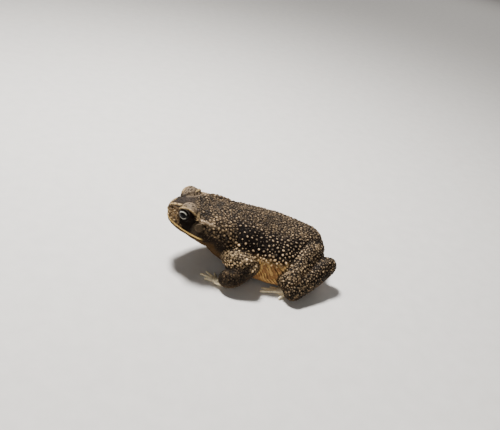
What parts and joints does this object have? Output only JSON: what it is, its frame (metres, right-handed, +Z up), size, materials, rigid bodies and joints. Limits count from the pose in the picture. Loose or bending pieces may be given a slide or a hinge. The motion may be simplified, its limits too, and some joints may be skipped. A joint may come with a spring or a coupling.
{
  "type": "cane toad model",
  "caption": "Life-size still model of a cane toad sitting on its belly, head raised, legs folded, with warty skin, parotoid glands and pale digits.",
  "frame": {"origin": "on the floor, under the middle of the toad's bounding box", "axes": "the toad faces -X, its left side is at -Y, +Z is up"},
  "size_m": [0.1272, 0.098, 0.0514],
  "materials": {
    "back": "matt warty skin",
    "throat": "matt fine-grained skin",
    "gland": "matt coarse-grained skin",
    "limb": "matt warty skin",
    "foot": "soft pale skin",
    "eardrum": "smooth thin skin",
    "eye": "wet gloss"
  },
  "bodies": {
    "root": {"head": "back", "lower_jaw": "throat", "eye_left": "eye", "eye_right": "eye", "eardrum_left": "eardrum", "eardrum_right": "eardrum", "parotoid_left": "gland", "parotoid_right": "gland", "torso": "back", "upper_arm_left": "limb", "upper_arm_right": "limb", "forearm_left": "limb", "forearm_right": "limb", "hand_left": "foot", "hand_right": "foot", "thigh_left": "limb", "thigh_right": "limb", "shank_left": "limb", "shank_right": "limb", "foot_left": "foot", "foot_right": "foot"}
  },
  "joints": []
}
